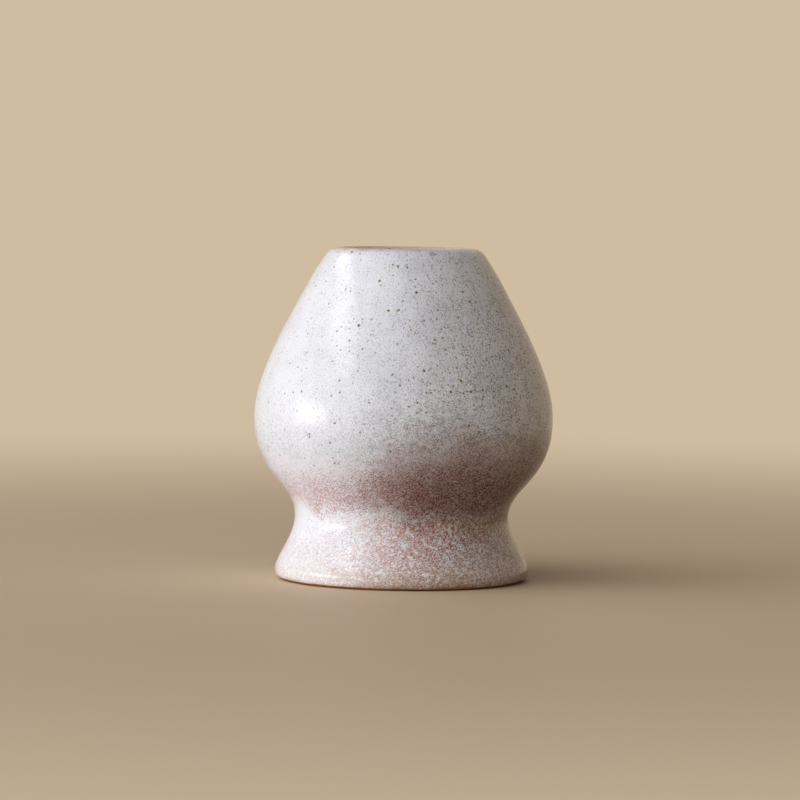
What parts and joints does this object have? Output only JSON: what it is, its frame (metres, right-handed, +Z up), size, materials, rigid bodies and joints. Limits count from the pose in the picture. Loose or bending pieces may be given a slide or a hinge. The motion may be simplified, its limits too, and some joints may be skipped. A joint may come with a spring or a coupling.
{
  "type": "tea whisk holder",
  "caption": "Hollow ceramic tea whisk holder with a narrow open lip, rounded belly and flared foot, for drying a bamboo whisk in shape.",
  "frame": {"origin": "on the axis, on the plane that the foot ring stands on", "axes": "+Z up along the axis from the foot to the lip; +X and +Y are alike on this round object"},
  "size_m": [0.063, 0.063, 0.07],
  "materials": {
    "bare_stoneware": "matt",
    "speckled_glaze": "gloss",
    "liner_glaze": "gloss"
  },
  "bodies": {
    "root": {"stoneware_body": "bare_stoneware", "outer_glaze": "speckled_glaze", "liner_glaze": "liner_glaze"}
  },
  "joints": []
}
